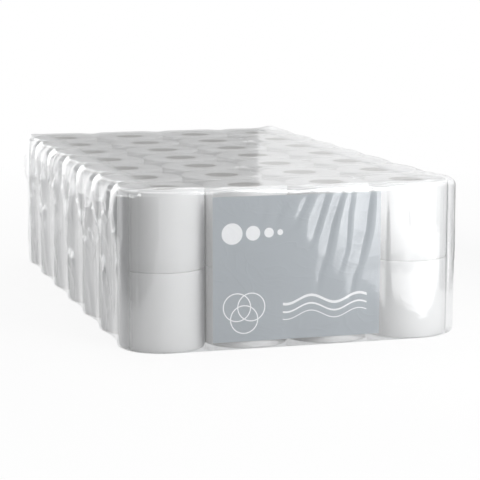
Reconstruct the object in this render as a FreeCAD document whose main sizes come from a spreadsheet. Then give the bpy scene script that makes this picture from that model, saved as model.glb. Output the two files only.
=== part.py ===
"""Case of toilet rolls: seven film-wrapped packs of eight rolls in one clear film sack.

Frame: X runs along the four rolls of a pack, Y runs back through the seven packs and Z is up.
The origin is the centre of the flat base. Units are millimetres.
"""

import FreeCAD
import Part
import math
import os

COLUMNS = "abcd"  # rolls side by side in a pack, from left to right
SIDES = (("left", "-"), ("right", ""))
PACKS = 7  # packs in the sack, from front to back
LAYERS = ("lower", "upper")

# Driving dimensions: alias, value, meaning.
DIMENSIONS = [
    ("roll_diameter", 105, "outside of one roll"),
    ("roll_height", 97, "width of the tissue web, which is the height of a standing roll"),
    ("core_bore", 42, "inside of the cardboard core"),
    ("roll_sides", 20, "facets round a roll and round the ends of its wrap"),
    ("bore_sides", 10, "facets round the bore"),
    ("roll_gap", 0.4, "between two rolls of a pack"),
    ("wrap_clearance", 0.2, "between the rolls and their wrap, at the side and the top"),
    ("wrap_film", 0.3, "film of a pack's wrap, drawn thicker than it is"),
    ("wrap_gap", 0.4, "between two wrapped packs"),
    ("fold_height", 0.6, "how far the folded end flaps stand proud of a wrap"),
    ("fold_wide", 72, "width of an end flap at the rim of the pack"),
    ("fold_narrow", 16, "width of an end flap where the two meet at half height"),
    ("sack_slack", 2.5, "between the wraps and the sack, at the side"),
    ("sack_headroom", 3, "between the wraps and the sack, at the top"),
    ("sack_film", 0.4, "film of the sack, drawn thicker than it is"),
    ("sack_rim", 2.6, "chamfer where the sack turns from its walls to its top"),
    ("valley_radius", 220, "hollow curve of the sack between two pack ends"),
    ("dip_clearance", 0.5, "between the wraps and the lowest film of the sack's top"),
    ("groove_width", 18, "where the sack sinks along the joint of two packs"),
    ("dip_width", 56, "where it sinks over the gap that four rolls leave"),
]

doc = FreeCAD.newDocument("roll_case")
sheet = doc.addObject("Spreadsheet::Sheet", "Dims")
for number, (alias, value, meaning) in enumerate(DIMENSIONS, start=1):
    sheet.set(f"A{number}", meaning)
    sheet.set(f"B{number}", str(value))
    sheet.setAlias(f"B{number}", alias)
doc.recompute()

# Lengths that follow from the driving dimensions, as expressions on the sheet.
ROLL_RADIUS = "Dims.roll_diameter / 2"
COLUMN_PITCH = "(Dims.roll_diameter + Dims.roll_gap)"
END_CENTRE = f"({(len(COLUMNS) - 1) / 2} * {COLUMN_PITCH})"
WRAP_INSIDE = f"({ROLL_RADIUS} + Dims.wrap_clearance)"
WRAP_OUTSIDE = f"({WRAP_INSIDE} + Dims.wrap_film)"
PACK_PITCH = f"(2 * {WRAP_OUTSIDE} + Dims.wrap_gap)"
SACK_OUTSIDE = f"({WRAP_OUTSIDE} + Dims.sack_slack + Dims.sack_film)"
WRAP_BASE = "Dims.sack_film"
ROLL_BASE = f"({WRAP_BASE} + Dims.wrap_film)"
WRAP_CAVITY = f"({len(LAYERS)} * Dims.roll_height + Dims.wrap_clearance)"
WRAP_HEIGHT = f"({WRAP_CAVITY} + 2 * Dims.wrap_film)"
SACK_HEIGHT = f"({WRAP_HEIGHT} + Dims.sack_headroom + 2 * Dims.sack_film)"
DIP_DEPTH = "(Dims.sack_headroom - Dims.dip_clearance)"


POINT_DOWN = FreeCAD.Rotation(FreeCAD.Vector(1, 0, 0), -90)  # a wedge's second face is its low one
DIAMOND = FreeCAD.Rotation(FreeCAD.Vector(0, 0, 1), 45)


def add(kind, name, **sizes):
    """A primitive whose properties follow the sheet; x, y and z are its base point."""
    item = doc.addObject(kind, name)
    for axis in "xyz":
        item.setExpression(f"Placement.Base.{axis}", sizes.pop(axis, "0"))
    for prop, expression in sizes.items():
        item.setExpression(prop, expression)
    return item


def fuse(name, items):
    """Several solids made into one."""
    union = doc.addObject("Part::MultiFuse", name)
    union.Shapes = items
    union.Refine = True
    return union


def common(name, base, tool):
    """What two solids share."""
    shared = doc.addObject("Part::Common", name)
    shared.Base = base
    shared.Tool = tool
    return shared


def cut(name, base, tool, label=None):
    """One solid less another; the label is the name of a finished sub-part."""
    left = doc.addObject("Part::Cut", name)
    left.Base = base
    left.Tool = tool
    left.Label = label or name
    return left


def pack_y(pack):
    """Where the centre of a pack lies, counted from 0 at the front."""
    return f"({pack - (PACKS - 1) / 2} * {PACK_PITCH})"


def column_x(column):
    """Where the centre of a column of rolls lies, counted from 0 at the left."""
    return f"({column - (len(COLUMNS) - 1) / 2} * {COLUMN_PITCH})"


def roll(pack, column, layer):
    """A winding of tissue with its core in it, standing on end."""
    name = f"roll_p{pack + 1}{COLUMNS[column]}_{LAYERS[layer]}"
    place = {
        "x": column_x(column),
        "y": pack_y(pack),
        "z": f"{ROLL_BASE} + {layer} * Dims.roll_height",
        "Height": "Dims.roll_height",
    }
    winding = add(
        "Part::Prism", name + "_winding",
        Polygon="Dims.roll_sides", Circumradius=ROLL_RADIUS, **place,
    )
    bore = add(
        "Part::Prism", name + "_bore",
        Polygon="Dims.bore_sides", Circumradius="Dims.core_bore / 2", **place,
    )
    return cut(name + "_solid", winding, bore, name)


def long_round(name, y, z, radius, height):
    """A block with a straight front and back and a half-round at each end."""
    block = add(
        "Part::Box", name + "_block", x=f"-{END_CENTRE}", y=f"{y} - {radius}", z=z,
        Length=f"2 * {END_CENTRE}", Width=f"2 * {radius}", Height=height,
    )
    return [block, *round_ends(name, y, z, radius, height)]


def round_ends(name, y, z, radius, height):
    """The round posts at the left and right end of a pack."""
    return [
        add("Part::Prism", f"{name}_end_{side}", x=f"{sign}{END_CENTRE}", y=y, z=z,
            Polygon="Dims.roll_sides", Circumradius=radius, Height=height)
        for side, sign in SIDES
    ]


def end_flaps(name, y):
    """The film folded flat over both ends of a pack: wide at the rims, narrow at half height."""
    proud = f"({WRAP_OUTSIDE} + Dims.fold_height)"
    reach = f"({END_CENTRE} + {proud})"
    ends = round_ends(name + "_flap", y, WRAP_BASE, proud, WRAP_HEIGHT)
    tapers = []
    halves = (("foot", "0", "Dims.fold_wide", "Dims.fold_narrow"),
              ("head", f"{WRAP_HEIGHT} / 2", "Dims.fold_narrow", "Dims.fold_wide"))
    for half, rise, below, above in halves:
        taper = add(
            "Part::Wedge", f"{name}_taper_{half}", y=y, z=f"{WRAP_BASE} + {rise}",
            Xmin=f"-{reach}", Xmax=reach, X2min=f"-{reach}", X2max=reach,
            Ymin="0", Ymax=f"{WRAP_HEIGHT} / 2",
            Zmin=f"-{below} / 2", Zmax=f"{below} / 2",
            Z2min=f"-{above} / 2", Z2max=f"{above} / 2",
        )
        taper.Placement.Rotation = FreeCAD.Rotation(FreeCAD.Vector(1, 0, 0), 90)
        tapers.append(taper)
    shape = fuse(name + "_tapers", tapers)
    return common(name + "_flaps", fuse(name + "_flap_ends", ends), shape)


def wrap(pack):
    """The printed film round one pack of eight rolls, folded shut at both ends."""
    name = f"wrap_{pack + 1}"
    y = pack_y(pack)
    outside = fuse(
        name + "_outside",
        [*long_round(name + "_out", y, WRAP_BASE, WRAP_OUTSIDE, WRAP_HEIGHT), end_flaps(name, y)],
    )
    inside = fuse(
        name + "_inside", long_round(name + "_in", y, ROLL_BASE, WRAP_INSIDE, WRAP_CAVITY)
    )
    return cut(name, outside, inside)


def top_edges(shape):
    """Numbers of the edges round the flat top of a solid."""
    top = shape.BoundBox.ZMax
    return [
        number
        for number, edge in enumerate(shape.Edges, start=1)
        if math.isclose(edge.BoundBox.ZMin, top) and math.isclose(edge.BoundBox.ZMax, top)
    ]


def sack_block(name, inset):
    """The scalloped block inside one face of the sack's film; inset is 0 or the film's thickness."""
    radius = f"({SACK_OUTSIDE} - {inset})"
    hollow = f"(Dims.valley_radius + {inset})"
    between = f"({radius} + {hollow})"  # from the centre of an end to that of a valley
    valley_x = f"({END_CENTRE} + sqrt({between} ^ 2 - ({PACK_PITCH} / 2) ^ 2))"
    touch_x = f"({END_CENTRE} + {radius} * sqrt(1 - ({PACK_PITCH} / 2 / {between}) ^ 2))"
    tall = {"z": inset, "Height": f"{SACK_HEIGHT} - 2 * {inset}"}
    first, last = pack_y(0), pack_y(PACKS - 1)
    middle = add(
        "Part::Box", name + "_middle", x=f"-{END_CENTRE}", y=f"{first} - {radius}",
        Length=f"2 * {END_CENTRE}", Width=f"{last} - {first} + 2 * {radius}", **tall,
    )
    filling = add(
        "Part::Box", name + "_filling", x=f"-{touch_x}", y=first,
        Length=f"2 * {touch_x}", Width=f"{last} - {first}", **tall,
    )
    valleys, ends = [], []
    for side, sign in SIDES:
        for pack in range(PACKS):
            ends.append(
                add("Part::Cylinder", f"{name}_{side}_end_{pack + 1}",
                    x=f"{sign}{END_CENTRE}", y=pack_y(pack), Radius=radius, **tall)
            )
        for pack in range(PACKS - 1):
            valleys.append(
                add("Part::Cylinder", f"{name}_{side}_valley_{pack + 1}",
                    x=f"{sign}{valley_x}", y=pack_y(pack + 0.5), Radius=hollow, **tall)
            )
    scalloped = cut(name + "_scalloped", filling, fuse(name + "_valleys", valleys))
    union = fuse(name + "_union", [middle, scalloped, *ends])
    doc.recompute()
    rim = doc.addObject("Part::Chamfer", name + "_rim")
    rim.Base = union
    film = sheet.get("sack_film") if inset != "0" else 0
    size = sheet.get("sack_rim") - film * (2 - math.sqrt(2))
    rim.Edges = [(number, size, size) for number in top_edges(union.Shape)]
    return rim


def sunk_top(name, block, inset):
    """A sack block less a groove along each joint of two packs and a dip at each gap of four rolls."""
    top = f"{SACK_HEIGHT} - {inset}"
    reach = f"({END_CENTRE} + {SACK_OUTSIDE})"
    tools = []
    for joint in range(PACKS - 1):
        y = pack_y(joint + 0.5)
        groove = add(
            "Part::Wedge", f"{name}_groove_{joint + 1}", y=y, z=top,
            Xmin=f"-{reach}", Xmax=reach, X2min=f"-{reach}", X2max=reach,
            Ymin="0", Ymax=DIP_DEPTH,
            Zmin="-Dims.groove_width / 2", Zmax="Dims.groove_width / 2", Z2min="0", Z2max="0",
        )
        groove.Placement.Rotation = POINT_DOWN
        tools.append(groove)
        for gap in range(len(COLUMNS) - 1):
            half = "Dims.dip_width / 2 / sqrt(2)"
            dip = add(
                "Part::Wedge", f"{name}_dip_{joint + 1}_{gap + 1}",
                x=column_x(gap + 0.5), y=y, z=top,
                Xmin=f"-{half}", Xmax=half, X2min="0", X2max="0",
                Ymin="0", Ymax=DIP_DEPTH,
                Zmin=f"-{half}", Zmax=half, Z2min="0", Z2max="0",
            )
            dip.Placement.Rotation = DIAMOND.multiply(POINT_DOWN)
            tools.append(dip)
    return cut(name, block, fuse(name + "_tools", tools))


def sack():
    """The clear sack round all the packs, sunk a little where the packs and rolls leave room."""
    outside = sunk_top("sack_outer_skin", sack_block("sack_outside", "0"), "0")
    inside = sunk_top(
        "sack_inner_skin", sack_block("sack_inside", "Dims.sack_film"), "Dims.sack_film"
    )
    return cut("sack_solid", outside, inside, "sack")


def group(label, items):
    """Like pieces that share one sub-part, each still a solid of its own."""
    compound = doc.addObject("Part::Compound", label + "_group")
    compound.Links = items
    compound.Label = label
    return compound


def check(finished):
    """Stops the build if anything failed without saying so."""
    failed = [item.Name for item in doc.Objects if {"Invalid", "Error"} & set(item.State)]
    if failed:
        raise RuntimeError(f"failed objects: {failed}")
    for item in finished:
        if item.Shape.isNull() or not item.Shape.isValid() or not item.Shape.Solids:
            raise RuntimeError(f"{item.Label} has no valid solid")


rolls = [
    roll(pack, column, layer)
    for pack in range(PACKS)
    for column in range(len(COLUMNS))
    for layer in range(len(LAYERS))
]
wraps = [wrap(pack) for pack in range(PACKS)]
wraps[0].Label = "front_wrap"
finished = [*rolls, wraps[0], group("rear_wraps", wraps[1:]), sack()]
doc.recompute()
check(finished)

os.makedirs("parts", exist_ok=True)
for item in finished:
    item.Shape.exportStep(os.path.join("parts", item.Label + ".step"))
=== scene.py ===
import math

import bpy
import numpy as np
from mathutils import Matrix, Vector


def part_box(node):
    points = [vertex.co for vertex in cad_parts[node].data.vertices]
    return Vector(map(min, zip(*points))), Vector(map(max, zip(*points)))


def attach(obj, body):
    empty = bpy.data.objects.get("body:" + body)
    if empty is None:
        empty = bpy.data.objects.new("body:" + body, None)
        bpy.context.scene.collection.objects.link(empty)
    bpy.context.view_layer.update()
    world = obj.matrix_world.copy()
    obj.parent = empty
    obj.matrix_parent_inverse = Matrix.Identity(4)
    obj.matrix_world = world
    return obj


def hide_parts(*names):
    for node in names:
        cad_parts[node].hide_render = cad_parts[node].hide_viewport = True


# Looks of the toilet roll pack. Lengths are in metres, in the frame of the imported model:
# X along the four rolls of an inner pack, Y back through the packs, Z up, the printed front at -Y.
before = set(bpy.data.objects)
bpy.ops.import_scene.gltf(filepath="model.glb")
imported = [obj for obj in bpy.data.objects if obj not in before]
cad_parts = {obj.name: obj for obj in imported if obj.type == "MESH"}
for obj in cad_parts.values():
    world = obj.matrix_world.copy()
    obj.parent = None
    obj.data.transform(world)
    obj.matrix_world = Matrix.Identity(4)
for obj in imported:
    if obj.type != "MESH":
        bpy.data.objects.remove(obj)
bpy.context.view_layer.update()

MM = 0.001
rng = np.random.default_rng(7)

PACKS = 7
COLUMNS = "abcd"
LAYERS = ("lower", "upper")


def middle(node):
    """The centre of a node's box."""
    low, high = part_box(node)
    return (low + high) / 2


# Sizes that come from the frame.
roll_low, roll_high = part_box("roll_p1a_lower")
wrap_low, wrap_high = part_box("front_wrap")
sack_low, sack_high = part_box("sack")
ROLL_RADIUS = (roll_high.x - roll_low.x) / 2
ROLL_HEIGHT = roll_high.z - roll_low.z
COLUMN_PITCH = middle("roll_p1b_lower").x - middle("roll_p1a_lower").x
PACK_PITCH = middle("roll_p2a_lower").y - middle("roll_p1a_lower").y
END_CENTRE = middle("roll_p1d_lower").x
LAST_CENTRE = middle("roll_p7a_lower").y
WRAP_RADIUS = (wrap_high.y - wrap_low.y) / 2
WRAP_BASE = wrap_low.z
WRAP_TOP = wrap_high.z
SACK_RADIUS = sack_high.y - LAST_CENTRE
SACK_TOP = sack_high.z

# Sizes that the frame doesn't hold.
CORE_RADIUS = 21 * MM
CORE_WALL = 0.7 * MM
RIM_SOFTNESS = 1.7 * MM
SHOULDER_CREST = 172 * MM  # where the puffed film over the top of a pack's end stands off the most
FILM = 0.2 * MM  # how far the taut film of the sack lies inside its solid
MARGIN_WIDTH = 10 * MM  # the unprinted, slightly cloudy margin beside the printed field
MARGIN_HAZE = 0.20
FRONT_LIP = 1.8 * MM  # how far the film stands up along the top of the front
VALLEY_RADIUS = 220 * MM  # hollow curve of the sack between two pack ends

# The printed field, on the front of the first pack.
PANEL_LEFT = -108 * MM
PANEL_RIGHT = 105 * MM
PANEL_BASE = 10 * MM
PANEL_TOP = 187 * MM


# Mesh helpers

def smoothstep(low, high, value):
    """0 below low, 1 above high and a smooth rise between."""
    share = np.clip((value - low) / (high - low), 0, 1)
    return share * share * (3 - 2 * share)


def make_mesh(name, points, quads, material_indices=None, foot=None):
    """A smooth mesh from arrays of points and quads; foot is one more face with many corners."""
    mesh = bpy.data.meshes.new(name)
    corners = quads.ravel()
    starts = np.arange(0, quads.size, 4)
    if foot is not None:
        corners = np.append(corners, foot)
        starts = np.append(starts, quads.size)
    mesh.vertices.add(len(points))
    mesh.vertices.foreach_set("co", np.ascontiguousarray(points, np.float32).ravel())
    mesh.loops.add(len(corners))
    mesh.loops.foreach_set("vertex_index", corners.astype(np.int32))
    mesh.polygons.add(len(starts))
    mesh.polygons.foreach_set("loop_start", starts.astype(np.int32))
    if material_indices is not None:
        indices = np.zeros(len(starts), np.int32)
        indices[:len(quads)] = material_indices
        mesh.polygons.foreach_set("material_index", indices)
    mesh.update(calc_edges=True)
    mesh.polygons.foreach_set("use_smooth", np.ones(len(starts), bool))
    return mesh


def add_object(name, mesh, materials, location=(0, 0, 0), turn=0.0):
    """An object of the scene that rides on the one body."""
    piece = bpy.data.objects.new(name, mesh)
    bpy.context.scene.collection.objects.link(piece)
    if not mesh.materials:
        for material in materials:
            mesh.materials.append(material)
    piece.location = location
    piece.rotation_euler = (0, 0, turn)
    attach(piece, "root")
    return piece


def ring_mesh(name, profile, sides, wobble=None):
    """A closed ring: a loop of (radius, height) pairs turned about Z; wobble shifts the radius."""
    angle = np.linspace(0, 2 * math.pi, sides, endpoint=False)
    radius = np.array([r for r, _ in profile])[None, :] * np.ones((sides, 1))
    height = np.array([z for _, z in profile])[None, :] * np.ones((sides, 1))
    if wobble is not None:
        radius, height = wobble(angle[:, None], radius, height)
    points = np.stack(
        [radius * np.cos(angle)[:, None], radius * np.sin(angle)[:, None], height], axis=-1
    )
    count = len(profile)
    around = np.arange(sides)[:, None]
    along = np.arange(count)[None, :]
    here = around * count + along
    next_around = (around + 1) % sides * count + along
    both = (around + 1) % sides * count + (along + 1) % count
    next_along = around * count + (along + 1) % count
    quads = np.stack([here, next_around, both, next_along], axis=-1).reshape(-1, 4)
    return make_mesh(name, points.reshape(-1, 3), quads)


def block_grid(lines_x, lines_y, lines_z, foot_margin=16 * MM):
    """Points, quads and the foot of a block's surface, cut along the given grid lines."""
    counts = (len(lines_x), len(lines_y), len(lines_z))
    number = -np.ones(counts, int)
    shell = np.zeros(counts, bool)
    shell[[0, -1], :, :] = True
    shell[:, [0, -1], :] = True
    shell[:, :, [0, -1]] = True

    # The flat middle of the base is one face; its inner points are left out.
    left, right = np.searchsorted(lines_x, (lines_x[0] + foot_margin, lines_x[-1] - foot_margin))
    front, back = np.searchsorted(lines_y, (lines_y[0] + foot_margin, lines_y[-1] - foot_margin))
    shell[left + 1:right, front + 1:back, 0] = False
    number[shell] = np.arange(shell.sum())
    i, j, k = np.nonzero(shell)
    points = np.stack([lines_x[i], lines_y[j], lines_z[k]], axis=1)

    def face(grid, flip):
        """The quads between the points of one side, turned to face outwards."""
        corners = [grid[:-1, :-1], grid[1:, :-1], grid[1:, 1:], grid[:-1, 1:]]
        if flip:
            corners.reverse()
        return np.stack(corners, axis=-1)

    base = face(number[:, :, 0], True)
    kept = np.ones(base.shape[:2], bool)
    kept[left:right, front:back] = False
    quads = [
        base[kept],
        face(number[:, :, -1], False).reshape(-1, 4),
        face(number[:, 0, :], False).reshape(-1, 4),
        face(number[:, -1, :], True).reshape(-1, 4),
        face(number[0, :, :], True).reshape(-1, 4),
        face(number[-1, :, :], False).reshape(-1, 4),
    ]
    floor = number[:, :, 0]
    foot = np.concatenate([
        floor[left, front:back],
        floor[left:right, back],
        floor[right, back:front:-1],
        floor[right:left:-1, front],
    ])
    return points, np.concatenate(quads), foot


def soften_rims(points, low, high, radii):
    """Rounds a block's edges; radii hold a radius along each axis, for each point or for all."""
    radii = np.broadcast_to(radii, points.shape)
    core = np.clip(points, low + radii, high - radii)
    offset = (points - core) / radii
    length = np.linalg.norm(offset, axis=1, keepdims=True)
    return core + offset / np.maximum(length, 1e-9) * radii


def to_disc(across, along):
    """Moves the points of a square quarter onto a round quarter; both values are shares of its side."""
    larger = np.maximum(across, along)
    length = np.hypot(across, along)
    scale = np.where(length > 1e-9, larger / np.maximum(length, 1e-9), 1)
    return across * scale, along * scale


def waves(rng, u, v, length, count=9, stretch=1.0, lean=0.0):
    """Gentle random waviness of about unit height; stretch draws it out along the direction of lean."""
    c, s = math.cos(lean), math.sin(lean)
    along = (u * c + v * s) / stretch
    across = -u * s + v * c
    total = np.zeros_like(u)
    for _ in range(count):
        heading = rng.uniform(0, math.pi)
        step = 2 * math.pi / (length * rng.uniform(0.7, 1.5))
        total += np.sin(step * (along * math.cos(heading) + across * math.sin(heading))
                        + rng.uniform(0, 2 * math.pi))
    return total / math.sqrt(count / 2)


def creases(rng, u, v, length, stretch=1.0, lean=0.0, sharp=3.0):
    """Thin ridges between 0 and 1 in height, winding where the waviness crosses zero."""
    return np.exp(-sharp * np.abs(waves(rng, u, v, length, 9, stretch, lean)))


def fold(u, v, path, left, right, height):
    """A fold of film along a path, dying at its ends; left and right are its reach to each side.

    The path, the reaches and the height are in millimetres; u, v and the result are in metres.
    """
    best = np.full(u.shape, 1e9)
    side = np.zeros_like(u)
    share = np.zeros_like(u)
    path = np.array(path, float) * MM
    spans = np.linalg.norm(np.diff(path, axis=0), axis=1)
    done = 0.0
    for start, end, span in zip(path[:-1], path[1:], spans):
        way = (end - start) / span
        along = np.clip((u - start[0]) * way[0] + (v - start[1]) * way[1], 0, span)
        off_u = u - start[0] - along * way[0]
        off_v = v - start[1] - along * way[1]
        distance = np.hypot(off_u, off_v)
        nearer = distance < best
        best = np.where(nearer, distance, best)
        side = np.where(nearer, off_u, side)
        share = np.where(nearer, (done + along) / spans.sum(), share)
        done += span
    reach = np.where(side > 0, right, left) * MM
    taper = np.sin(math.pi * np.clip(share, 0.03, 0.97)) ** 0.5
    return height * MM * np.exp(-(best / reach) ** 1.4) * taper


def gathered(u, v, folds):
    """The highest of many folds at each point; folds hold a path, two reaches and a height."""
    relief = np.zeros_like(u)
    for path, left, right, height in folds:
        relief = np.maximum(relief, fold(u, v, path, left, right, height))
    return relief


# Material helpers

class Nodes:
    """A material's node tree, with short calls for its nodes."""

    def __init__(self, name):
        self.material = bpy.data.materials.new(name)
        self.material.use_nodes = True
        self.tree = self.material.node_tree
        self.tree.nodes.clear()
        self.output = self.tree.nodes.new("ShaderNodeOutputMaterial")

    def add(self, kind, inputs=None, **settings):
        """A new shader node with its settings made and its sockets filled."""
        node = self.tree.nodes.new("ShaderNode" + kind)
        for key, value in settings.items():
            setattr(node, key, value)
        for key, value in (inputs or {}).items():
            self.put(node, key, value)
        return node

    def put(self, node, key, value):
        """Sets a socket to a number or colour, or links another node's socket to it."""
        socket = node.inputs[key]
        if isinstance(value, bpy.types.Node):
            value = value.outputs[0]
        if isinstance(value, bpy.types.NodeSocket):
            self.tree.links.new(value, socket)
        else:
            socket.default_value = value

    def math(self, operation, *values, clamp=False):
        return self.add("Math", dict(enumerate(values)), operation=operation, use_clamp=clamp)

    def ramp(self, value, low, high):
        """0 below low, 1 above high and a smooth rise between."""
        return self.add(
            "MapRange", {0: value, 1: low, 2: high, 3: 0.0, 4: 1.0}, interpolation_type="SMOOTHSTEP"
        )

    def blend(self, share, one, two):
        """A colour between two others."""
        node = self.add("Mix", data_type="RGBA")
        self.put(node, 0, share)
        self.put(node, 6, one)
        self.put(node, 7, two)
        return node.outputs[2]

    def bump(self, height, strength, distance, normal=None):
        inputs = {"Height": height, "Strength": strength, "Distance": distance}
        if normal is not None:
            inputs["Normal"] = normal
        return self.add("Bump", inputs)

    def finish(self, shader):
        self.tree.links.new(shader.outputs[0], self.output.inputs[0])
        return self.material


def paper_material():
    """Soft white tissue: a fine embossed grain on the web, thin turns on the end faces."""
    n = Nodes("tissue_paper")
    place = n.add("TexCoord").outputs["Object"]
    split = n.add("SeparateXYZ", {0: place})
    radius = n.math("SQRT", n.math("ADD", n.math("POWER", split.outputs[0], 2.0),
                                   n.math("POWER", split.outputs[1], 2.0)))
    drift = n.add("TexNoise", {"Vector": place, "Scale": 18.0, "Detail": 2.0})
    turns = n.math("SINE", n.math("ADD", n.math("MULTIPLY", radius, 2 * math.pi / (0.9 * MM)),
                                  n.math("MULTIPLY", drift, 14.0)))
    up = n.math("ABSOLUTE", n.add("SeparateXYZ", {0: n.add("NewGeometry").outputs["Normal"]}).outputs[2])
    end_face = n.ramp(up, 0.6, 0.9)
    grain = n.add("TexNoise", {"Vector": place, "Scale": 900.0, "Detail": 3.0, "Roughness": 0.6})
    dots = n.add("TexVoronoi", {"Vector": place, "Scale": 420.0})
    turns_relief = n.math("MULTIPLY", turns, n.math("MULTIPLY", end_face, 0.6))
    relief = n.math("ADD", turns_relief, n.math("ADD", grain, n.math("MULTIPLY", dots, 0.5)))
    tone = n.add("TexNoise", {"Vector": place, "Scale": 45.0, "Detail": 3.0})
    ring_tone = n.math("MULTIPLY", n.math("ADD", n.math("MULTIPLY", turns, 0.5), 0.5), end_face)
    share = n.math("ADD", n.math("MULTIPLY", tone, 0.5), n.math("MULTIPLY", ring_tone, 0.5), clamp=True)
    colour = n.blend(share, (0.90, 0.90, 0.895, 1), (0.82, 0.82, 0.815, 1))
    return n.finish(n.add("BsdfPrincipled", {
        "Base Color": colour,
        "Roughness": 0.92,
        "Sheen Weight": 0.15,
        "Specular IOR Level": 0.2,
        "Normal": n.bump(relief, 0.5, 0.12 * MM),
    }))


def card_material():
    """Grey-brown card of the cores, wound on a slant from a strip."""
    n = Nodes("core_card")
    place = n.add("TexCoord").outputs["Object"]
    split = n.add("SeparateXYZ", {0: place})
    turn = n.math("DIVIDE", n.math("ARCTAN2", split.outputs[1], split.outputs[0]), 2 * math.pi)
    climb = n.math("FRACT", n.math("ADD", turn, n.math("DIVIDE", split.outputs[2], 62 * MM)))
    seam = n.math("SUBTRACT", 1.0, n.ramp(n.math("ABSOLUTE", n.math("SUBTRACT", climb, 0.5)), 0.0, 0.02))
    fibre = n.add("TexNoise", {"Vector": place, "Scale": 260.0, "Detail": 5.0, "Roughness": 0.7})
    colour = n.blend(fibre, (0.19, 0.175, 0.155, 1), (0.31, 0.29, 0.26, 1))
    colour = n.blend(n.math("MULTIPLY", seam, 0.5), colour, (0.14, 0.125, 0.105, 1))
    return n.finish(n.add("BsdfPrincipled", {
        "Base Color": colour,
        "Roughness": 0.9,
        "Normal": n.bump(n.math("SUBTRACT", fibre, seam), 0.6, 0.2 * MM),
    }))


def film_relief(n, place, fine, broad):
    """The small crinkles of stretched film, as a height."""
    stretched = n.add("Mapping", {"Vector": place, "Scale": (1.0, 1.0, 0.28)})
    small = n.add("TexNoise", {"Vector": stretched, "Scale": fine, "Detail": 3.0, "Distortion": 1.2})
    large = n.add("TexNoise", {"Vector": place, "Scale": broad, "Detail": 2.0, "Distortion": 2.0})
    ridge = n.math("SUBTRACT", 1.0, n.math("ABSOLUTE", n.math("MULTIPLY",
                   n.math("SUBTRACT", large, 0.5), 6.0)), clamp=True)
    return n.math("ADD", n.math("MULTIPLY", small, 0.5), n.math("POWER", ridge, 3.0))


def crumple_relief(n, place):
    """Patches of sharp creases with smooth film between them, as a height between 0 and 1."""
    stretched = n.add("Mapping", {"Vector": place, "Scale": (1.0, 1.0, 0.55)})
    noise = n.add("TexNoise", {"Vector": stretched, "Scale": 24.0, "Detail": 1.0, "Distortion": 0.9})
    ridge = n.math("SUBTRACT", 1.0, n.math("ABSOLUTE", n.math("MULTIPLY",
                   n.math("SUBTRACT", noise, 0.5), 9.0)), clamp=True)
    patch = n.add("TexNoise", {"Vector": place, "Scale": 14.0, "Detail": 1.0})
    return n.math("MULTIPLY", ridge, n.ramp(patch, 0.50, 0.62))


def film_shader(n, haze, gain, gloss_roughness, normal):
    """Clear film: see-through, a faint milkiness, and a gloss that grows towards grazing view."""
    facing = n.add("LayerWeight", {"Blend": 0.5, "Normal": normal}).outputs["Facing"]
    mirror = n.math("ADD", n.math("MULTIPLY", n.math("POWER", facing, 4.0), gain), 0.07, clamp=True)
    clear = n.add("BsdfTransparent", {"Color": (0.985, 0.987, 0.99, 1)})
    milk = n.add("BsdfDiffuse", {"Color": (0.93, 0.94, 0.95, 1), "Normal": normal})
    body = n.add("MixShader", {0: haze, 1: clear, 2: milk})
    gloss = n.add("BsdfGlossy", {"Color": (1, 1, 1, 1), "Roughness": gloss_roughness, "Normal": normal})
    return n.add("MixShader", {0: mirror, 1: body, 2: gloss})


def film_material(name, haze, end_haze, rim_haze, margin_haze, gain, end_gain, roughness, crumple):
    """Clear film, in layers over the ends of the packs and drawn milky over the front rim.

    Haze is its milkiness, gain how much its gloss grows towards grazing view, and crumple the
    strength of the sharp creases at the ends.
    """
    n = Nodes(name)
    place = n.add("TexCoord").outputs["Object"]
    split = n.add("SeparateXYZ", {0: place})
    off = n.math("ABSOLUTE", split.outputs[0])
    behind = n.ramp(split.outputs[1], -LAST_CENTRE - 0.4 * WRAP_RADIUS, -LAST_CENTRE)
    wide = n.ramp(off, END_CENTRE, END_CENTRE + 0.5 * WRAP_RADIUS)
    narrow = n.ramp(off, END_CENTRE + 0.80 * WRAP_RADIUS, END_CENTRE + 0.98 * WRAP_RADIUS)
    at_end = n.math("MAXIMUM", narrow, n.math("MULTIPLY", wide, behind))
    layers = n.math("MULTIPLY", at_end, end_haze - haze)
    up = n.add("SeparateXYZ", {0: n.add("NewGeometry").outputs["Normal"]}).outputs[2]
    rim = n.math("MULTIPLY", n.ramp(up, 0.12, 0.45), n.math("SUBTRACT", 1.0, n.ramp(up, 0.80, 0.97)))
    at_front = n.ramp(split.outputs[1], -LAST_CENTRE, -LAST_CENTRE - 0.8 * WRAP_RADIUS)
    front = n.math("MULTIPLY", rim, at_front)
    milk = n.math("ADD", n.math("ADD", layers, haze), n.math("MULTIPLY", front, rim_haze), clamp=True)
    margin_start = PANEL_LEFT - MARGIN_WIDTH
    begun = n.ramp(split.outputs[0], margin_start, margin_start + 0.3 * MARGIN_WIDTH)
    ended = n.ramp(split.outputs[0], PANEL_LEFT, PANEL_LEFT + 1 * MM)
    beside = n.math("MULTIPLY", begun, n.math("SUBTRACT", 1.0, ended))
    margin = n.math("MULTIPLY", beside, at_front)
    milk = n.math("MAXIMUM", milk, n.math("MULTIPLY", margin, margin_haze))
    gloss = n.math("ADD", n.math("MULTIPLY", at_end, end_gain - gain), gain)
    wall = n.math("MULTIPLY", n.math("SUBTRACT", 1.0, n.ramp(up, 0.3, 0.8)), n.math("SUBTRACT", 1.0, at_end))
    crinkles = n.bump(n.math("MULTIPLY", film_relief(n, place, 50.0, 12.0), wall), 0.10, 0.6 * MM)
    crumples = n.math("MULTIPLY", crumple_relief(n, place), at_end)
    normal = n.bump(crumples, crumple, 3.0 * MM, crinkles)
    satin = n.math("ADD", n.math("MULTIPLY", at_end, 0.12), roughness)
    return n.finish(film_shader(n, milk, gloss, satin, normal))


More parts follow.
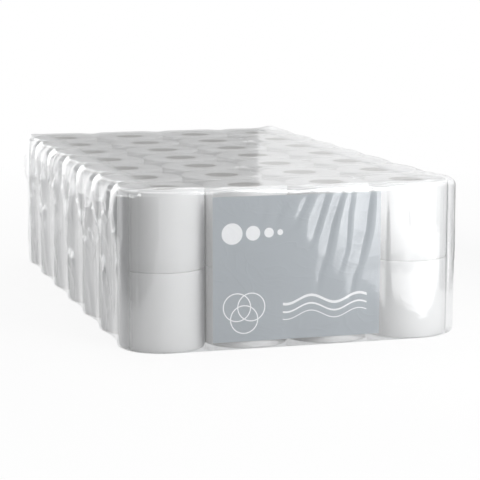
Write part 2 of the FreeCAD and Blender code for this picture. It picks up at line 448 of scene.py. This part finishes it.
def print_material():
    """The printed field on the front of the first pack: grey-blue ink with pale plain motifs."""
    n = Nodes("printed_film")
    place = n.add("TexCoord").outputs["Object"]
    split = n.add("SeparateXYZ", {0: place})
    x, z = split.outputs[0], split.outputs[2]
    edge = 0.25 * MM

    def inside(distance, size):
        """1 where a distance is under a size, with a crisp edge."""
        return n.math("SUBTRACT", 1.0, n.ramp(distance, size - edge, size + edge))

    def away(x0, z0):
        """Distance in metres from a point of the panel given in millimetres."""
        dx = n.math("SUBTRACT", x, x0 * MM)
        dz = n.math("SUBTRACT", z, z0 * MM)
        return n.math("SQRT", n.math("ADD", n.math("POWER", dx, 2.0), n.math("POWER", dz, 2.0)))

    def between(value, low, high):
        """1 where a value lies between two sizes in millimetres, with crisp edges."""
        return n.math("MULTIPLY", n.ramp(value, low * MM - edge, low * MM + edge),
                      n.math("SUBTRACT", 1.0, n.ramp(value, high * MM - edge, high * MM + edge)))

    def ring(x0, z0, radius, line):
        """The line of a circle, all in millimetres."""
        off = n.math("ABSOLUTE", n.math("SUBTRACT", away(x0, z0), radius * MM))
        return inside(off, line / 2 * MM)

    def ripple(level, swing, length, line, low, high):
        """A wavy line across part of the panel."""
        phase = n.math("MULTIPLY", x, 2 * math.pi / (length * MM))
        swell = n.math("MULTIPLY", n.math("SINE", phase), swing * MM)
        off = n.math("ABSOLUTE", n.math("SUBTRACT", n.math("SUBTRACT", z, level * MM), swell))
        return n.math("MULTIPLY", inside(off, line / 2 * MM), between(x, low, high))

    motifs = [
        ripple(58, 5, 62, 3.4, -20, 88),
        ripple(48, 5, 62, 2.2, -20, 88),
        ripple(39, 5, 62, 1.2, -20, 88),
        inside(away(-84, 142), 13 * MM),
        inside(away(-58, 142), 9 * MM),
        inside(away(-38, 142), 6 * MM),
        inside(away(-24, 142), 3.6 * MM),
        ring(-78, 52, 17, 1.4),
        ring(-60, 52, 17, 1.4),
        ring(-69, 37, 17, 1.4),
    ]
    mark = motifs[0]
    for motif in motifs[1:]:
        mark = n.math("MAXIMUM", mark, motif)
    grain = n.add("TexNoise", {"Vector": place, "Scale": 700.0, "Detail": 2.0})
    cloud = n.add("TexNoise", {"Vector": place, "Scale": 9.0, "Detail": 2.0})
    ink = n.blend(cloud, (0.36, 0.395, 0.425, 1), (0.405, 0.44, 0.47, 1))
    ink = n.blend(n.math("MULTIPLY", grain, 0.10), ink, (0.52, 0.56, 0.61, 1))
    colour = n.blend(mark, ink, (0.93, 0.94, 0.95, 1))
    relief = film_relief(n, place, 70.0, 16.0)
    return n.finish(n.add("BsdfPrincipled", {
        "Base Color": colour,
        "Roughness": 0.32,
        "Coat Weight": 0.5,
        "Coat Roughness": 0.12,
        "Normal": n.bump(relief, 0.25, 0.5 * MM),
    }))


paper = paper_material()
card = card_material()
wrap_film = film_material(
    "wrap_film", haze=0.03, end_haze=0.85, rim_haze=0.10, margin_haze=MARGIN_HAZE,
    gain=0.25, end_gain=0.4, roughness=0.12, crumple=0.0,
)
sack_film = film_material(
    "sack_film", haze=0.02, end_haze=0.06, rim_haze=0.22, margin_haze=0.02,
    gain=0.82, end_gain=0.88, roughness=0.10, crumple=0.32,
)
print_film = print_material()


# Rolls and their cores

def winding_profile():
    """The (radius, height) loop of a roll's section, from the bore outwards."""
    bore = CORE_RADIUS + CORE_WALL
    soft = RIM_SOFTNESS
    top = ROLL_HEIGHT
    outer = ROLL_RADIUS
    base = [(bore, 0.0), (bore + 0.3 * (outer - bore), 0.0), (bore + 0.7 * (outer - bore), 0.0),
            (outer - soft, 0.0), (outer - 0.3 * soft, 0.3 * soft), (outer, soft)]
    wall = [(outer, top * share) for share in (0.25, 0.5, 0.75)]
    head = [(radius, top - height) for radius, height in reversed(base)]
    return base + wall + head + [(bore, top / 2)]


def winding_mesh(number):
    """A roll that was wound and packed softly: not quite round, its turns a little uneven."""
    phase = rng.uniform(0, 2 * math.pi, 6)

    def wobble(angle, radius, height):
        share = (radius - CORE_RADIUS) / (ROLL_RADIUS - CORE_RADIUS)
        out = 0.25 * MM * np.sin(2 * angle + phase[0]) + 0.18 * MM * np.sin(3 * angle + phase[1])
        out = out + 0.12 * MM * np.sin(5 * angle + phase[2] + 40 * height)
        shifted = radius + (out - 0.35 * MM) * share
        dish = 0.35 * MM * np.sin(math.pi * np.clip(share, 0, 1)) * np.sin(angle + phase[3] + 9 * share)
        lifted = np.where(height > ROLL_HEIGHT / 2, height - np.abs(dish), height + np.abs(dish) * 0.5)
        return shifted, lifted

    return ring_mesh(f"winding_{number}", winding_profile(), 80, wobble)


def core_mesh():
    """A card tube, cut a hair shorter than the paper."""
    inner, outer = CORE_RADIUS, CORE_RADIUS + 0.9 * CORE_WALL
    low, high = 0.25 * MM, ROLL_HEIGHT - 0.4 * MM
    profile = [(inner, high), (inner, low), (outer, low), (outer, high)]
    return ring_mesh("core_tube", profile[::-1], 48)


def build_rolls():
    """All the rolls at their places in the frame, each with its core, from a few meshes in turn."""
    windings = [winding_mesh(number) for number in range(5)]
    tube = core_mesh()
    for pack in range(1, PACKS + 1):
        for column in COLUMNS:
            for layer in LAYERS:
                node = f"roll_p{pack}{column}_{layer}"
                low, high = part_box(node)
                spot = ((low.x + high.x) / 2, (low.y + high.y) / 2, low.z)
                turn = math.pi / 2 * rng.integers(4)
                winding = windings[rng.integers(len(windings))]
                piece = add_object(f"{node}_winding", winding, [paper], spot, turn)
                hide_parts(node)
                core = add_object(f"{node}_core", tube, [card], spot, turn)


# Inner packs

def spaced(low, high, step, keep=()):
    """Grid lines about one step apart from low to high that pass through the values to keep."""
    stops = [low, *sorted(keep), high]
    lines = [
        np.linspace(start, end, max(1, round((end - start) / step)), endpoint=False)
        for start, end in zip(stops[:-1], stops[1:])
    ]
    return np.append(np.concatenate(lines), high)


def pack_offset(y):
    """Distance along Y from the centre of the nearest pack."""
    row = np.clip(np.round((y + LAST_CENTRE) / PACK_PITCH), 0, PACKS - 1)
    return np.abs(y + LAST_CENTRE - row * PACK_PITCH)


def column_offset(x):
    """Distance along X from the axis of the nearest column of rolls."""
    column = np.clip(np.round((x + END_CENTRE) / COLUMN_PITCH), 0, len(COLUMNS) - 1)
    return np.abs(x + END_CENTRE - column * COLUMN_PITCH)


def gap_dip(x, off_y, reach):
    """0 to 1: how near a point of the top lies to the gap that rolls leave between them."""
    among_rolls = np.abs(x) < END_CENTRE
    between = np.where(among_rolls, COLUMN_PITCH / 2 - column_offset(x), reach)
    return np.clip(1 - (np.abs(between) + np.abs(PACK_PITCH / 2 - off_y)) / reach, 0, 1)


def bore_dip(x, off_y):
    """0 to 1: how far the film sinks into the bore below it."""
    off = np.hypot(column_offset(x), off_y)
    return np.clip(1 - (off / (1.05 * CORE_RADIUS)) ** 2, 0, 1)


def end_folds(rng, along, height, scale):
    """Relief of a folded pack end: fans of creases from its corners to a crumpled gather in its middle."""
    base, top = WRAP_BASE / MM, WRAP_TOP / MM
    knot = np.array([rng.uniform(-8, 8), rng.uniform(95, 135)])
    folds = []
    for sign in (-1, 1):
        spread = sign * (38 + rng.uniform(-5, 5))
        knee = knot + (sign * rng.uniform(3, 10), rng.uniform(-10, 16))
        bend = (knot[0] + spread) / 2 + sign * rng.uniform(0, 8)
        folds.append(([(spread, top - 12), (bend, top - 48), knee], 17, 5, 4.4))
        low_knee = knot + (sign * rng.uniform(3, 9), rng.uniform(-60, -35))
        folds.append(([(spread, base + 6), (bend, base + 36), low_knee], 17, 8, 1.0))
    for _ in range(6):
        angle = rng.uniform(0, 2 * math.pi)
        start = knot + rng.uniform(-1, 1, 2) * (26, 38)
        end = start + rng.uniform(16, 34) * np.array([0.6 * math.cos(angle), math.sin(angle)])
        bend = (start + end) / 2 + rng.uniform(-6, 6, 2)
        folds.append(([start, bend, end], rng.uniform(6, 10), rng.uniform(3, 4), rng.uniform(1.4, 2.8)))
    return scale * gathered(along, height, folds)


def valley_pleats(rng, along, height):
    """Upright pleats of the sack beside the valleys on both sides of a pack's end."""
    half = PACK_PITCH / 2 / MM
    folds = []
    for spot, tall in ((-half + 10, 0.7), (half - 12, 1.1)):
        sway = rng.uniform(-3, 3, 3)
        path = [(spot + sway[0], 180), (spot + sway[1], 95), (spot + sway[2], 6)]
        folds.append((path, 11.0, 11.0, tall * rng.uniform(0.7, 1.2)))
    return gathered(along, height, folds)


def shoulder_puff(rng, along, height):
    """How far the film stands off the top of a pack's end, in metres."""
    middle_off = rng.uniform(-7, 7) * MM
    across = np.clip(np.abs(along - middle_off) / (0.5 * PACK_PITCH), 0, 1)
    crest = SHOULDER_CREST + rng.uniform(-7, 5) * MM
    below = smoothstep(crest - rng.uniform(26, 44) * MM, crest, height)
    above = np.clip((height - crest) / (SACK_TOP - crest), 0, 1)
    swell = np.where(height < crest, below, 1 - above**2)
    return rng.uniform(4.0, 6.0) * MM * (1 - across**5) * swell


# Pleats of the front as (path of x and z, reach to the left, reach to the right, depth), in millimetres.
FRONT_FOLDS = [
    # Slanting pleats over the right of the printed field.
    ([(36, 188), (27, 160), (17, 128)], 8, 2.5, 2.2),
    ([(56, 189), (43, 150), (34, 108)], 9, 2.5, 2.6),
    ([(92, 190), (87, 140), (76, 96)], 12, 3.0, 2.8),
    ([(67, 189), (63, 156), (61, 119), (53, 94)], 6, 2.2, 1.9),
    ([(14, 188), (4, 168), (-4, 152)], 6, 2.5, 1.6),
    ([(-20, 180), (-27, 162), (-30, 146)], 9, 4.0, 0.7),
    ([(-42, 178), (-47, 164), (-50, 152)], 8, 4.0, 0.5),
    ([(36, 116), (28, 90), (24, 66)], 7, 2.5, 1.4),
    ([(78, 104), (70, 78), (66, 52)], 8, 2.5, 1.4),
    # Upright pleats over the rolls at the right and left.
    ([(112, 188), (111, 120), (113, 40)], 5, 2.5, 1.4),
    ([(136, 188), (140, 140), (139, 92)], 6, 4.0, 1.2),
    ([(-128, 150), (-130, 110), (-127, 60)], 5, 3.0, 0.7),
]


def front_relief(x, z, lift, depth):
    """The film stands off the front by a lift where it is pleated, and sinks back along each pleat."""
    loose = smoothstep(-60 * MM, 10 * MM, x) * smoothstep(20 * MM, 110 * MM, z)
    return loose * lift - depth * gathered(x, z, FRONT_FOLDS)


def build_wrap(pack):
    """The film of one pack: taut on the rolls, sunk between them and folded shut at its ends."""
    rng = np.random.default_rng(100 + pack)
    front = pack == 1
    centre_y = middle(f"roll_p{pack}a_lower").y
    radius = WRAP_RADIUS - 0.15 * MM
    half = END_CENTRE + radius
    low = np.array([-half, -radius, WRAP_BASE + 0.1 * MM])
    high = np.array([half, radius, WRAP_TOP - 0.1 * MM])
    lines = (
        spaced(low[0], high[0], (3.0 if front else 4.2) * MM, (PANEL_LEFT, PANEL_RIGHT) if front else ()),
        spaced(low[1], high[1], 3.0 * MM),
        spaced(low[2], high[2], 3.0 * MM, (PANEL_BASE, PANEL_TOP) if front else ()),
    )
    grid, quads, foot = block_grid(*lines)
    points = soften_rims(grid, low, high, (5.0 * MM, 3.0 * MM, 5.5 * MM))
    x, y, z = points.T.copy()
    end = np.abs(x) - END_CENTRE
    at_end = end > 0
    across, along = to_disc(np.clip(end, 0, None) / radius, np.abs(y) / radius)
    x = np.where(at_end, np.sign(x) * (END_CENTRE + across * radius), x)
    y = np.where(at_end, np.sign(y) * along * radius, y)

    # It sinks between the rolls at the front and back, and over the gaps and bores of the top.
    wall = smoothstep(0.80, 0.97, np.abs(y) / radius) * ~at_end
    upright = smoothstep(WRAP_BASE, WRAP_BASE + 8 * MM, z) * smoothstep(WRAP_TOP, WRAP_TOP - 8 * MM, z)
    between = 1 - np.cos(2 * math.pi * np.clip(np.abs(x), 0, END_CENTRE) / COLUMN_PITCH)
    if len(COLUMNS) % 2 == 0:
        between = 2 - between
    y -= np.sign(y) * wall * between / 2 * (0.9 if front else 2.4) * MM
    top = smoothstep(WRAP_TOP - 5 * MM, WRAP_TOP - 1 * MM, z)
    off_y = np.abs(y)
    z -= top * (1.4 * MM * gap_dip(x, off_y, 22 * MM) + 0.15 * MM * bore_dip(x, off_y))

    # The folded ends.
    for sign in (-1, 1):
        side = (np.sign(x) == sign) & at_end
        angle = np.arctan2(y[side], np.abs(x[side]) - END_CENTRE)
        relief = end_folds(rng, angle * radius, z[side], 0.5) * upright[side]
        relief *= smoothstep(0.0, 0.3, np.cos(angle))
        if front:
            relief *= smoothstep(-0.5, 0.1, angle)
        x[side] += sign * np.cos(angle) * relief
        y[side] += np.sin(angle) * relief
    facing = (y < 0) & (wall > 0) & front
    y -= np.where(facing, wall * upright * np.clip(front_relief(x, z, 2.0 * MM, 0.8), 0, None), 0)
    y -= np.sign(y) * wall * upright * 0.15 * MM * np.abs(waves(rng, x, z, 60 * MM, 9, 2.5, math.pi / 2))

    indices = np.zeros(len(quads), int)
    if front:
        centre = grid[quads].mean(axis=1)
        panel = (
            (centre[:, 1] < low[1] + 0.5 * MM)
            & (centre[:, 0] > PANEL_LEFT) & (centre[:, 0] < PANEL_RIGHT)
            & (centre[:, 2] > PANEL_BASE) & (centre[:, 2] < PANEL_TOP)
        )
        indices[panel] = 1
    shape = np.stack([x, y + centre_y, z], axis=1)
    mesh = make_mesh(f"wrap_{pack}_film", shape, quads, indices, foot)
    piece = add_object(f"wrap_{pack}", mesh, [wrap_film, print_film] if front else [wrap_film])
    return piece


# The sack

def scallop(y):
    """How far the side of the sack lies inside its lobes' tips, at a depth y of the pack."""
    off = pack_offset(y)
    half = PACK_PITCH / 2
    turn = math.asin(half / (SACK_RADIUS + VALLEY_RADIUS))
    deepest = (SACK_RADIUS + VALLEY_RADIUS) * (1 - math.cos(turn))
    lobe = SACK_RADIUS - np.sqrt(np.maximum(SACK_RADIUS**2 - off**2, 0))
    valley = deepest - (VALLEY_RADIUS - np.sqrt(VALLEY_RADIUS**2 - (half - np.clip(off, 0, half)) ** 2))
    depth = np.where(off < SACK_RADIUS * math.sin(turn), lobe, valley)
    return np.where(np.abs(y) < LAST_CENTRE, depth, 0)


def near(x, y, spot, reach):
    """1 at a spot of the plan, in millimetres, falling smoothly to 0 around it."""
    return np.exp(-((x - spot[0] * MM) ** 2 + (y - spot[1] * MM) ** 2) / (reach * MM) ** 2)


def build_sack():
    """The outer film: taut over the packs, scalloped at the sides, pleated and gathered at its corners."""
    rng = np.random.default_rng(31)
    radius = SACK_RADIUS - FILM
    low = np.array([-END_CENTRE - radius, -LAST_CENTRE - radius, FILM])
    high = np.array([END_CENTRE + radius, LAST_CENTRE + radius, SACK_TOP - FILM])
    lines = (
        spaced(low[0], high[0], 3.6 * MM),
        spaced(low[1], high[1], 2.9 * MM),
        spaced(low[2], high[2], 2.4 * MM),
    )
    grid, quads, foot = block_grid(*lines)

    # Wide soft shoulders at the ends, wider still in the valleys between two packs.
    x, y, z = grid.T
    at_end = smoothstep(END_CENTRE, END_CENTRE + 0.6 * radius, np.abs(x))
    valley = np.exp(-((PACK_PITCH / 2 - pack_offset(y)) / (6 * MM)) ** 2) * (np.abs(y) < LAST_CENTRE)
    upper = z > SACK_TOP / 2
    radii = np.stack([
        np.where(upper, 9 + 14 * valley, 5) * MM,
        np.full_like(x, 5 * MM),
        np.where(upper, 6 + at_end * (6 + 12 * valley), 5) * MM,
    ], axis=1)
    x, y, z = soften_rims(grid, low, high, radii).T.copy()
    end = np.abs(x) - END_CENTRE
    beyond = np.abs(y) - LAST_CENTRE
    corner = (end > 0) & (beyond > 0)
    across, along = to_disc(np.clip(end, 0, None) / radius, np.clip(beyond, 0, None) / radius)
    side_x = END_CENTRE + end * (1 - scallop(y) / radius)
    x = np.where(end > 0, np.sign(x) * np.where(corner, END_CENTRE + across * radius, side_x), x)
    y = np.where(corner, np.sign(y) * (LAST_CENTRE + along * radius), y)

    # How much of the top, the upright film, the sides, and the front or back a point belongs to.
    top = smoothstep(SACK_TOP - 9 * MM, SACK_TOP - 2 * MM, z)
    upright = smoothstep(SACK_TOP, SACK_TOP - 12 * MM, z) * smoothstep(0, 12 * MM, z)
    end = np.clip(np.abs(x) - END_CENTRE, 0, None)
    beyond = np.clip(np.abs(y) - LAST_CENTRE, 0, None)
    turn = np.arctan2(end, beyond + 1e-6)
    side_face = smoothstep(0.6, 0.95, np.hypot(end, beyond) / radius) * np.sin(turn) ** 2 * upright
    wall_face = smoothstep(0.6, 0.95, np.hypot(end, beyond) / radius) * np.cos(turn) ** 2 * upright

    # The top sinks along the joints of the packs, over the gaps between rolls and over the bores.
    off_y = pack_offset(y)
    inner = np.abs(y) < LAST_CENTRE
    groove = np.exp(-np.abs(PACK_PITCH / 2 - off_y) / (4 * MM)) * inner
    over_gaps = 1.5 * MM * gap_dip(x, off_y, 22 * MM)
    over_bores = 0.15 * MM * bore_dip(x, off_y)
    z -= top * (1.2 * MM + 0.8 * MM * groove + over_gaps + over_bores)
    z += top * 0.10 * MM * waves(rng, x, y, 110 * MM, 9, 1.6)
    left_rise = np.exp(-((x + END_CENTRE + 6 * MM) / (36 * MM)) ** 2)
    at_lip = np.exp(-((y + LAST_CENTRE + 0.83 * radius) / (9 * MM)) ** 2)
    z += top * FRONT_LIP * (1 + 0.9 * left_rise) * at_lip

    # Gathers at the ends of the packs, pleats over the front, and looser film at the back.
    out = np.zeros_like(x)
    for pack in range(1, PACKS + 1):
        centre_y = middle(f"roll_p{pack}a_lower").y
        for sign in (-1, 1):
            side = (np.sign(x) == sign) & (np.abs(y - centre_y) < 0.62 * PACK_PITCH) & (side_face > 0)
            along = y[side] - centre_y
            relief = np.maximum(end_folds(rng, along, z[side], 1.3), valley_pleats(rng, along, z[side]))
            fullness = 0.15 if sign > 0 else 0.45 if pack == PACKS else 1
            puff = fullness * shoulder_puff(rng, along, z[side])
            relief = relief * (1 - 0.7 * smoothstep(1.5 * MM, 4 * MM, puff)) + puff
            if pack == 1:
                relief *= smoothstep(-24 * MM, 8 * MM, along)
            out[side] = np.maximum(out[side], side_face[side] * relief)
    out += side_face * 0.3 * MM * waves(rng, y, z, 60 * MM, 9, 3.0, math.pi / 2)
    x += np.sign(x) * out
    front = y < 0
    y -= np.where(front, wall_face * front_relief(x, z, 1.6 * MM, 1.0), 0)
    y += np.where(~front, wall_face * 1.6 * MM * creases(rng, x, z, 70 * MM, 3.0, 1.2, 6.0), 0)

    # Loose film round the right front corner, an ear at the left back one, a peak at the right back one.
    reach_back = smoothstep(-LAST_CENTRE + 150 * MM, -LAST_CENTRE, y)
    loose = smoothstep(0.25, 1.0, np.sin(turn)) * (x > 0) * (y < 0) * reach_back * np.where(end > 0, 1, 0)
    x += 7.5 * MM * loose * (end / radius)
    ear = near(x, y, (-212, 345), 24)
    x -= 3 * MM * ear * smoothstep(120 * MM, 190 * MM, z)
    z += top * (3.5 * MM * ear + 5 * MM * near(x, y, (188, 352), 16))
    mesh = make_mesh("outer_sack_film", np.stack([x, y, z], axis=1), quads, foot=foot)
    piece = add_object("outer_sack", mesh, [sack_film])
    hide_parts("sack")


build_rolls()
wraps = [build_wrap(pack) for pack in range(1, PACKS + 1)]
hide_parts("front_wrap")
for wrap in wraps[1:]:
    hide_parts("rear_wraps")
build_sack()


# Floor, light and camera

def seen_directly(add, link):
    """1 for camera rays and for rays that a gloss or a clear body sends on, made with the given calls."""
    paths = add("ShaderNodeLightPath")
    share = paths.outputs["Is Camera Ray"]
    for name in ("Is Glossy Ray", "Is Transmission Ray"):
        either = add("ShaderNodeMath")
        either.operation = "MAXIMUM"
        link(share, either.inputs[0])
        link(paths.outputs[name], either.inputs[1])
        share = either.outputs[0]
    return share


def build_floor():
    """A plain white floor that keeps the shadow of the pack and fades into the white round it."""
    n = Nodes("floor_white")
    seen = seen_directly(n.tree.nodes.new, n.tree.links.new)
    away = n.add("VectorMath", {0: n.add("TexCoord").outputs["Object"]}, operation="LENGTH").outputs["Value"]
    matte = n.add("BsdfDiffuse", {"Color": n.blend(seen, (0.50, 0.50, 0.50, 1), (0.95, 0.95, 0.95, 1))})
    glow = n.add("Emission", {"Color": (1, 1, 1, 1), "Strength": 1.0})
    whiteness = n.add("MapRange", {0: away, 1: 0.3, 2: 1.6, 3: 0.88, 4: 1.0})
    share = n.math("MULTIPLY", seen, whiteness)
    material = n.finish(n.add("MixShader", {0: share, 1: matte, 2: glow}))
    size = 6.0
    corners = np.array([[-size, -size, 0], [size, -size, 0], [size, size, 0], [-size, size, 0]])
    mesh = make_mesh("floor_plane", corners, np.array([[0, 1, 2, 3]]))
    mesh.materials.append(material)
    floor = bpy.data.objects.new("floor", mesh)
    bpy.context.scene.collection.objects.link(floor)


# Brightness of the room by direction, as (degrees from +Y towards +X, grey).
ROOM = [
    (-180, 0.40), (-150, 0.25), (-50, 0.20), (-30, 0.60),
    (20, 0.80), (110, 0.80), (150, 0.65), (180, 0.40),
]
CEILING = 0.55


def build_world():
    """White where it is seen or mirrored; for light on the pack, a room that is dark at the left."""
    world = bpy.data.worlds.new("studio")
    bpy.context.scene.world = world
    world.use_nodes = True
    tree = world.node_tree
    tree.nodes.clear()
    add, link = tree.nodes.new, tree.links.new
    way = add("ShaderNodeSeparateXYZ")
    link(add("ShaderNodeTexCoord").outputs["Generated"], way.inputs[0])
    azimuth = add("ShaderNodeMath")
    azimuth.operation = "ARCTAN2"
    link(way.outputs["X"], azimuth.inputs[0])
    link(way.outputs["Y"], azimuth.inputs[1])
    share = add("ShaderNodeMapRange")
    share.inputs["From Min"].default_value = -math.pi
    share.inputs["From Max"].default_value = math.pi
    link(azimuth.outputs[0], share.inputs["Value"])
    room = add("ShaderNodeValToRGB")
    stops = room.color_ramp.elements
    while len(stops) < len(ROOM):
        stops.new(0.5)
    for stop, (degrees, grey) in zip(stops, ROOM):
        stop.position = (degrees + 180) / 360
        stop.color = (grey, grey, grey, 1)
    link(share.outputs[0], room.inputs[0])
    rise = add("ShaderNodeMapRange")
    rise.inputs["From Min"].default_value = 0.4
    rise.inputs["From Max"].default_value = 0.8
    link(way.outputs["Z"], rise.inputs["Value"])
    blend = add("ShaderNodeMix")
    blend.data_type = "RGBA"
    link(rise.outputs[0], blend.inputs[0])
    link(room.outputs[0], blend.inputs[6])
    blend.inputs[7].default_value = (CEILING, CEILING, CEILING, 1)
    light = add("ShaderNodeBackground")
    link(blend.outputs[2], light.inputs["Color"])
    white = add("ShaderNodeBackground")
    white.inputs["Color"].default_value = (1, 1, 1, 1)
    mix = add("ShaderNodeMixShader")
    link(seen_directly(add, link), mix.inputs[0])
    link(light.outputs[0], mix.inputs[1])
    link(white.outputs[0], mix.inputs[2])
    link(mix.outputs[0], add("ShaderNodeOutputWorld").inputs[0])


def add_lamp(name, place, target, width, height, brightness, lights="all"):
    """A soft box that faces a target point; brightness is what its face shows, with white as 1.

    Its lights are "all", or only "matte" surfaces, or only those with "gloss".
    """
    data = bpy.data.lights.new(name, "AREA")
    data.shape = "RECTANGLE"
    data.size = width
    data.size_y = height
    data.energy = brightness * math.pi * width * height
    lamp = bpy.data.objects.new(name, data)
    bpy.context.scene.collection.objects.link(lamp)
    lamp.location = place
    lamp.rotation_mode = "QUATERNION"
    lamp.rotation_quaternion = (Vector(target) - Vector(place)).to_track_quat("-Z", "Y")
    lamp.visible_camera = False
    lamp.visible_diffuse = lights != "gloss"
    lamp.visible_glossy = lights != "matte"


def add_card(name, start, end, low, high, grey, end_grey=None):
    """An upright card between two points of the plan, of one grey or fading into another at its end."""
    n = Nodes(name)
    length = math.dist(start, end)
    away = n.add("VectorMath", {0: n.add("TexCoord").outputs["Object"], 1: (*start, 0)}, operation="DISTANCE")
    share = n.ramp(away.outputs["Value"], 0.0, length)
    last = grey if end_grey is None else end_grey
    colour = n.blend(share, (grey, grey, grey, 1), (last, last, last, 1))
    material = n.finish(n.add("Emission", {"Color": colour, "Strength": 1.0}))
    corners = np.array([[*start, low], [*end, low], [*end, high], [*start, high]])
    mesh = make_mesh(name, corners, np.array([[0, 1, 2, 3]]))
    mesh.materials.append(material)
    card = bpy.data.objects.new(name, mesh)
    bpy.context.scene.collection.objects.link(card)
    card.visible_camera = False


IMAGE_WIDTH = 480  # in pixels, as is the focal length
CAMERA_FOCAL = 1757.9
CAMERA_PLACE = (-0.6575, -2.3687, 0.4601)
CAMERA_YAW = 16.281  # in degrees, as is the pitch
CAMERA_PITCH = 8.896


def add_camera():
    """The photograph's view, from a fit to its grid of bores."""
    data = bpy.data.cameras.new("camera")
    data.sensor_width = 36.0
    data.lens = CAMERA_FOCAL / IMAGE_WIDTH * data.sensor_width
    data.clip_end = 200.0
    camera = bpy.data.objects.new("camera", data)
    bpy.context.scene.collection.objects.link(camera)
    camera.location = CAMERA_PLACE
    camera.rotation_euler = (math.radians(90 - CAMERA_PITCH), 0, math.radians(-CAMERA_YAW))
    bpy.context.scene.camera = camera


# Upper edges of the stacked soft boxes; their lower edges differ, so that the gloss fades downwards.
VEIL_TOP = 0.37
LEFT_GLOSS_TOP = 0.62

build_floor()
build_world()
add_lamp("strip", (0.58, -0.80, 0.41), (0.58, 0.0, 0.41), 0.76, 0.8, 1.0, "matte")
add_lamp("low_strip", (0.58, -0.79, 0.16), (0.58, 0.0, 0.16), 0.76, 0.3, 0.55, "matte")
for number, low in enumerate((0.01, 0.04, 0.07)):
    place = (0.58, -0.78 + 0.01 * number, (low + VEIL_TOP) / 2)
    add_lamp(f"veil_{number}", place, (0.58, 0.0, place[2]), 0.76, VEIL_TOP - low, 0.95, "gloss")
add_lamp("key", (0.7, -1.9, 0.9), (0, -0.2, 0.1), 0.6, 0.6, 10.2)
add_lamp("overhead", (-0.1, 0.3, 1.8), (0, 0, 0), 1.0, 1.2, 2.0)
add_lamp("ceiling_gloss", (0.3, 0.0, 2.0), (0.3, 0.0, 0), 2.8, 3.2, 1.4, "gloss")
add_lamp("back_gloss", (-1.6, 2.2, 0.46), (-1.6, 0, 0.46), 3.0, 0.9, 1.25, "gloss")
for number, low in enumerate((0.06, 0.20, 0.36)):
    place = (-2.2 + 0.01 * number, 0.3, (low + LEFT_GLOSS_TOP) / 2)
    add_lamp(f"left_gloss_{number}", place, (0, 0.3, place[2]), 2.4, LEFT_GLOSS_TOP - low, 1.5, "gloss")
add_lamp("floor_gloss", (0.58, -0.62, 0.004), (0.58, -0.62, 1.0), 0.76, 0.30, 1.75, "gloss")
add_lamp("side_gloss", (-0.62, 0.35, 0.065), (0, 0.35, 0.065), 1.1, 0.11, 1.5, "gloss")
add_card("back_card", (-0.05, 2.0), (0.667, 2.0), 0.27, 1.4, 0.46)
add_card("pale_card", (0.667, 2.0), (1.3, 2.0), 0.27, 1.4, 0.76, 0.9)
add_card("left_card", (-0.5, 0.0), (-0.5, -1.25), 0.0, 0.20, 0.18, 0.7)
add_card("right_card", (0.48, -0.45), (0.48, 0.7), 0.0, 0.22, 0.12)
add_camera()

scene = bpy.context.scene
scene.view_settings.view_transform = "Standard"
scene.cycles.transparent_max_bounces = 24
